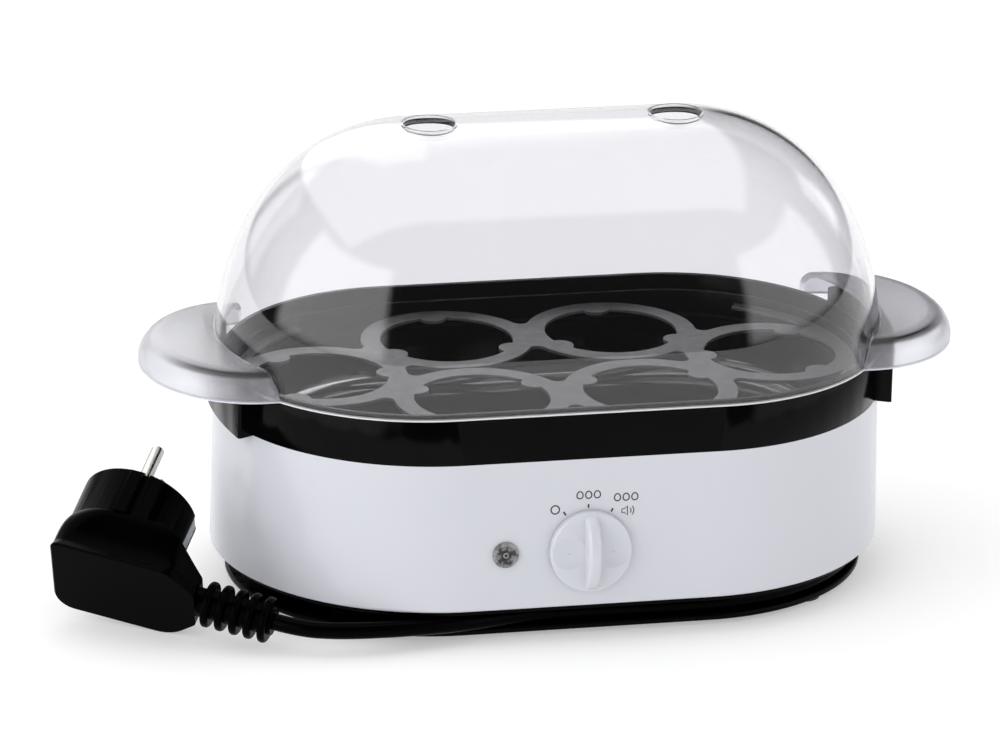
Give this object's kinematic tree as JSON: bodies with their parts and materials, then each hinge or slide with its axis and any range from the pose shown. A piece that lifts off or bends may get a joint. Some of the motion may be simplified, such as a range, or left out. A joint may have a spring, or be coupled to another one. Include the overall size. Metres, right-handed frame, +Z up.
{
  "type": "egg cooker",
  "caption": "Electric egg cooker: long round-ended body with a front dial and lamp, clear domed lid with end handles, pierced egg tray, steel steam pan, mains lead wound under the base",
  "frame": {"origin": "on the floor under the middle of the body's long round-ended outline", "axes": "+X along the body to the right, -Y towards the front panel with the knob, +Z up"},
  "size_m": [0.333, 0.1651, 0.168],
  "materials": {
    "housing_white": "gloss",
    "satin_black": "satin",
    "foot_rubber": "matt",
    "screw_steel": "zinc plated",
    "pan_steel": "polished",
    "bracket_steel": "plated",
    "spreader_aluminium": "cast",
    "element_sheath": "oxidised",
    "control_plastic": "moulded",
    "terminal_plastic": "moulded",
    "clear_lens": "clear",
    "lamp_glass": "clear",
    "cord_black": "satin",
    "pin_nickel": "nickel plated",
    "wire_brown": "insulated",
    "wire_blue": "insulated",
    "wire_earth": "insulated",
    "lid_clear": "clear",
    "tray_grey": "satin coated"
  },
  "bodies": {
    "base": {"housing_shell": "housing_white", "collar_ring": "satin_black", "base_plate": "satin_black", "winder_flange": "satin_black", "rubber_feet": "foot_rubber", "pan_seal": "foot_rubber", "base_screws": "screw_steel", "flange_screws": "screw_steel", "bracket_screws": "screw_steel", "bracket_bolts": "screw_steel", "switch_screws": "screw_steel", "terminal_screws": "screw_steel", "heating_pan": "pan_steel", "pan_brackets": "bracket_steel", "element_straps": "bracket_steel", "thermostat_bracket": "bracket_steel", "switch_bracket": "bracket_steel", "plug_earth_clips": "bracket_steel", "heat_spreader": "spreader_aluminium", "heating_element": "element_sheath", "thermostat": "control_plastic", "rotary_switch": "control_plastic", "buzzer": "control_plastic", "lamp_holder": "control_plastic", "thermal_fuse": "control_plastic", "terminal_block": "terminal_plastic", "cord_clamp": "terminal_plastic", "lamp_lens": "clear_lens", "lamp_bulb": "lamp_glass", "cord_tail": "cord_black", "cord_winding": "cord_black", "power_cord": "cord_black", "plug_body": "cord_black", "plug_strain_relief": "cord_black", "cord_gland": "cord_black", "plug_pins": "pin_nickel", "live_core": "wire_brown", "switch_lead": "wire_brown", "neutral_core": "wire_blue", "heater_lead": "wire_blue", "earth_core": "wire_earth"},
    "knob": {"knob": "housing_white", "knob_clip": "bracket_steel", "switch_spindle": "bracket_steel"},
    "tray": {"egg_tray": "tray_grey"},
    "lid": {"lid": "lid_clear"}
  },
  "joints": [
    {"name": "lid_lift", "type": "slide", "parent": "base", "child": "lid", "axis": [0, 0, 1], "range_m": [0, 0.125]},
    {"name": "tray_lift", "type": "slide", "parent": "base", "child": "tray", "axis": [0, 0, 1], "range_m": [0, 0.05]},
    {"name": "knob_turn", "type": "hinge", "parent": "base", "child": "knob", "pos_m": [-0.001, -0.07666, 0.034], "axis": [0, -0.9979, 0.0653], "range_deg": [-31, 31]}
  ],
  "couplings": [
    {"joint": "tray_lift", "follows": "lid_lift", "ratio": 0.4}
  ]
}
